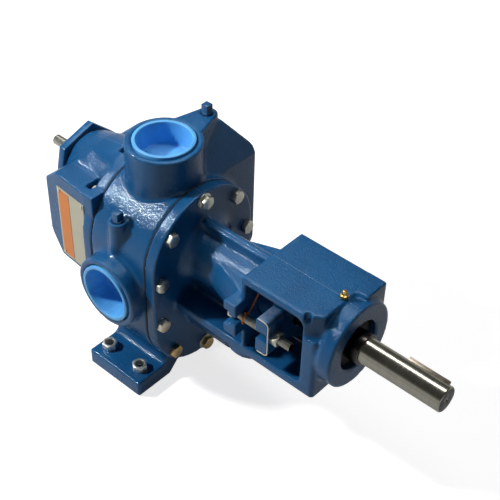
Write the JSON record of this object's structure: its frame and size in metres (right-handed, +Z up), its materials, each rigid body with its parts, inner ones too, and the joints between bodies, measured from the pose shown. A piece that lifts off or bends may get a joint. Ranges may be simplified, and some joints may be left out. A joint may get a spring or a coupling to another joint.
{
  "type": "helical gear pump",
  "caption": "Foot-mounted external helical gear pump: gear case with top and side ports, relief-valve cover, bearing bracket with gland and keyed drive shaft.",
  "frame": {"origin": "middle of the foot's bolt pattern, on the base plane", "axes": "+X along the drive shaft towards its keyed end, +Z up, -Y towards the side port"},
  "size_m": [0.5646, 0.2076, 0.3076],
  "materials": {
    "blue_enamel": "glossy mid-blue enamel over rough casting, slightly orange-peeled",
    "clip_steel": "blue enamel over sheet steel, bare cut edges",
    "zinc_steel": "zinc plate, satin, faintly yellow",
    "gasket_sheet": "matt black compressed sheet",
    "carbon_graphite": "machined carbon graphite, satin",
    "gear_steel": "hobbed and turned steel, satin",
    "key_steel": "drawn key steel",
    "shaft_steel": "ground bright steel, fine turning lines",
    "bearing_steel": "ground and polished bearing steel",
    "shield_steel": "dark spring steel",
    "braided_packing": "graphited square braid",
    "copper_wire": "bright copper",
    "spring_steel": "drawn spring wire",
    "blue_plastic": "moulded polyethylene, satin",
    "brass": "bright brass",
    "label_film": "blank cream field with an orange band"
  },
  "bodies": {
    "casing": {"gear_case": "blue_enamel", "bearing_bracket": "blue_enamel", "faceplate": "blue_enamel", "relief_cap": "blue_enamel", "foot_nuts": "zinc_steel", "bracket_gasket": "gasket_sheet", "faceplate_gasket": "gasket_sheet", "relief_cap_gasket": "gasket_sheet", "flange_bolts": "zinc_steel", "cover_bolts": "zinc_steel", "flange_washers": "zinc_steel", "drive_bush_front": "carbon_graphite", "driven_bush_front": "carbon_graphite", "drive_bush_rear": "carbon_graphite", "driven_bush_rear": "carbon_graphite", "bearing_outer_race": "bearing_steel", "bearing_shield": "shield_steel", "housing_snap_ring": "shield_steel", "packing_rings": "braided_packing", "gland_bolts": "zinc_steel", "gland_tie_wire": "copper_wire", "adjusting_jam_nut": "blue_enamel", "pipe_plugs": "blue_enamel", "grease_fitting": "brass", "label_plate": "label_film", "label_screws": "zinc_steel"},
    "drive_rotor": {"drive_shaft": "shaft_steel", "drive_gear": "gear_steel", "drive_gear_key": "key_steel", "coupling_key": "key_steel", "bearing_inner_race": "bearing_steel", "shaft_snap_ring": "shield_steel"},
    "driven_rotor": {"driven_shaft": "shaft_steel", "driven_gear": "gear_steel", "driven_gear_key": "key_steel"},
    "ball_cage": {"bearing_balls": "bearing_steel", "bearing_cage": "gear_steel"},
    "poppet": {"relief_poppet": "gear_steel"},
    "guide": {"spring_guide": "gear_steel", "relief_spring": "spring_steel"},
    "screw": {"adjusting_screw": "zinc_steel"},
    "gland": {"packing_gland": "blue_enamel", "gland_clips": "clip_steel", "gland_nuts": "zinc_steel"},
    "top_cap": {"top_port_cap": "blue_plastic"},
    "side_cap": {"side_port_cap": "blue_plastic"}
  },
  "joints": [
    {"name": "shaft_spin", "type": "hinge", "parent": "casing", "child": "drive_rotor", "pos_m": [0.0015, 0, 0.1778], "axis": [1, 0, 0], "continuous": true},
    {"name": "driven_spin", "type": "hinge", "parent": "casing", "child": "driven_rotor", "pos_m": [0.0015, 0, 0.1016], "axis": [1, 0, 0], "continuous": true},
    {"name": "ball_cage_orbit", "type": "hinge", "parent": "casing", "child": "ball_cage", "pos_m": [0.256, 0, 0.1778], "axis": [1, 0, 0], "continuous": true},
    {"name": "relief_poppet_lift", "type": "slide", "parent": "casing", "child": "poppet", "axis": [-1, 0, 0], "range_m": [0, 0.006], "stiffness_N_per_m": 5000, "deforming": ["relief_spring"]},
    {"name": "spring_guide_slide", "type": "slide", "parent": "casing", "child": "guide", "axis": [1, 0, 0], "range_m": [-0.0019, 0.0038], "deforming": ["relief_spring"]},
    {"name": "adjusting_screw_turn", "type": "hinge", "parent": "guide", "child": "screw", "pos_m": [-0.15, 0, 0.206], "axis": [1, 0, 0], "range_deg": [-380, 760]},
    {"name": "gland_slide", "type": "slide", "parent": "casing", "child": "gland", "axis": [1, 0, 0], "range_m": [0, 0.01]},
    {"name": "top_port_cap_pull", "type": "slide", "parent": "casing", "child": "top_cap", "axis": [0, 0, 1], "range_m": [0, 0.05]},
    {"name": "side_port_cap_pull", "type": "slide", "parent": "casing", "child": "side_cap", "axis": [0, -1, 0], "range_m": [0, 0.05]}
  ],
  "couplings": [
    {"joint": "driven_spin", "follows": "shaft_spin", "ratio": -1},
    {"joint": "ball_cage_orbit", "follows": "shaft_spin", "ratio": 0.4028},
    {"joint": "adjusting_screw_turn", "follows": "spring_guide_slide", "rad_per_m": 3215.8}
  ]
}
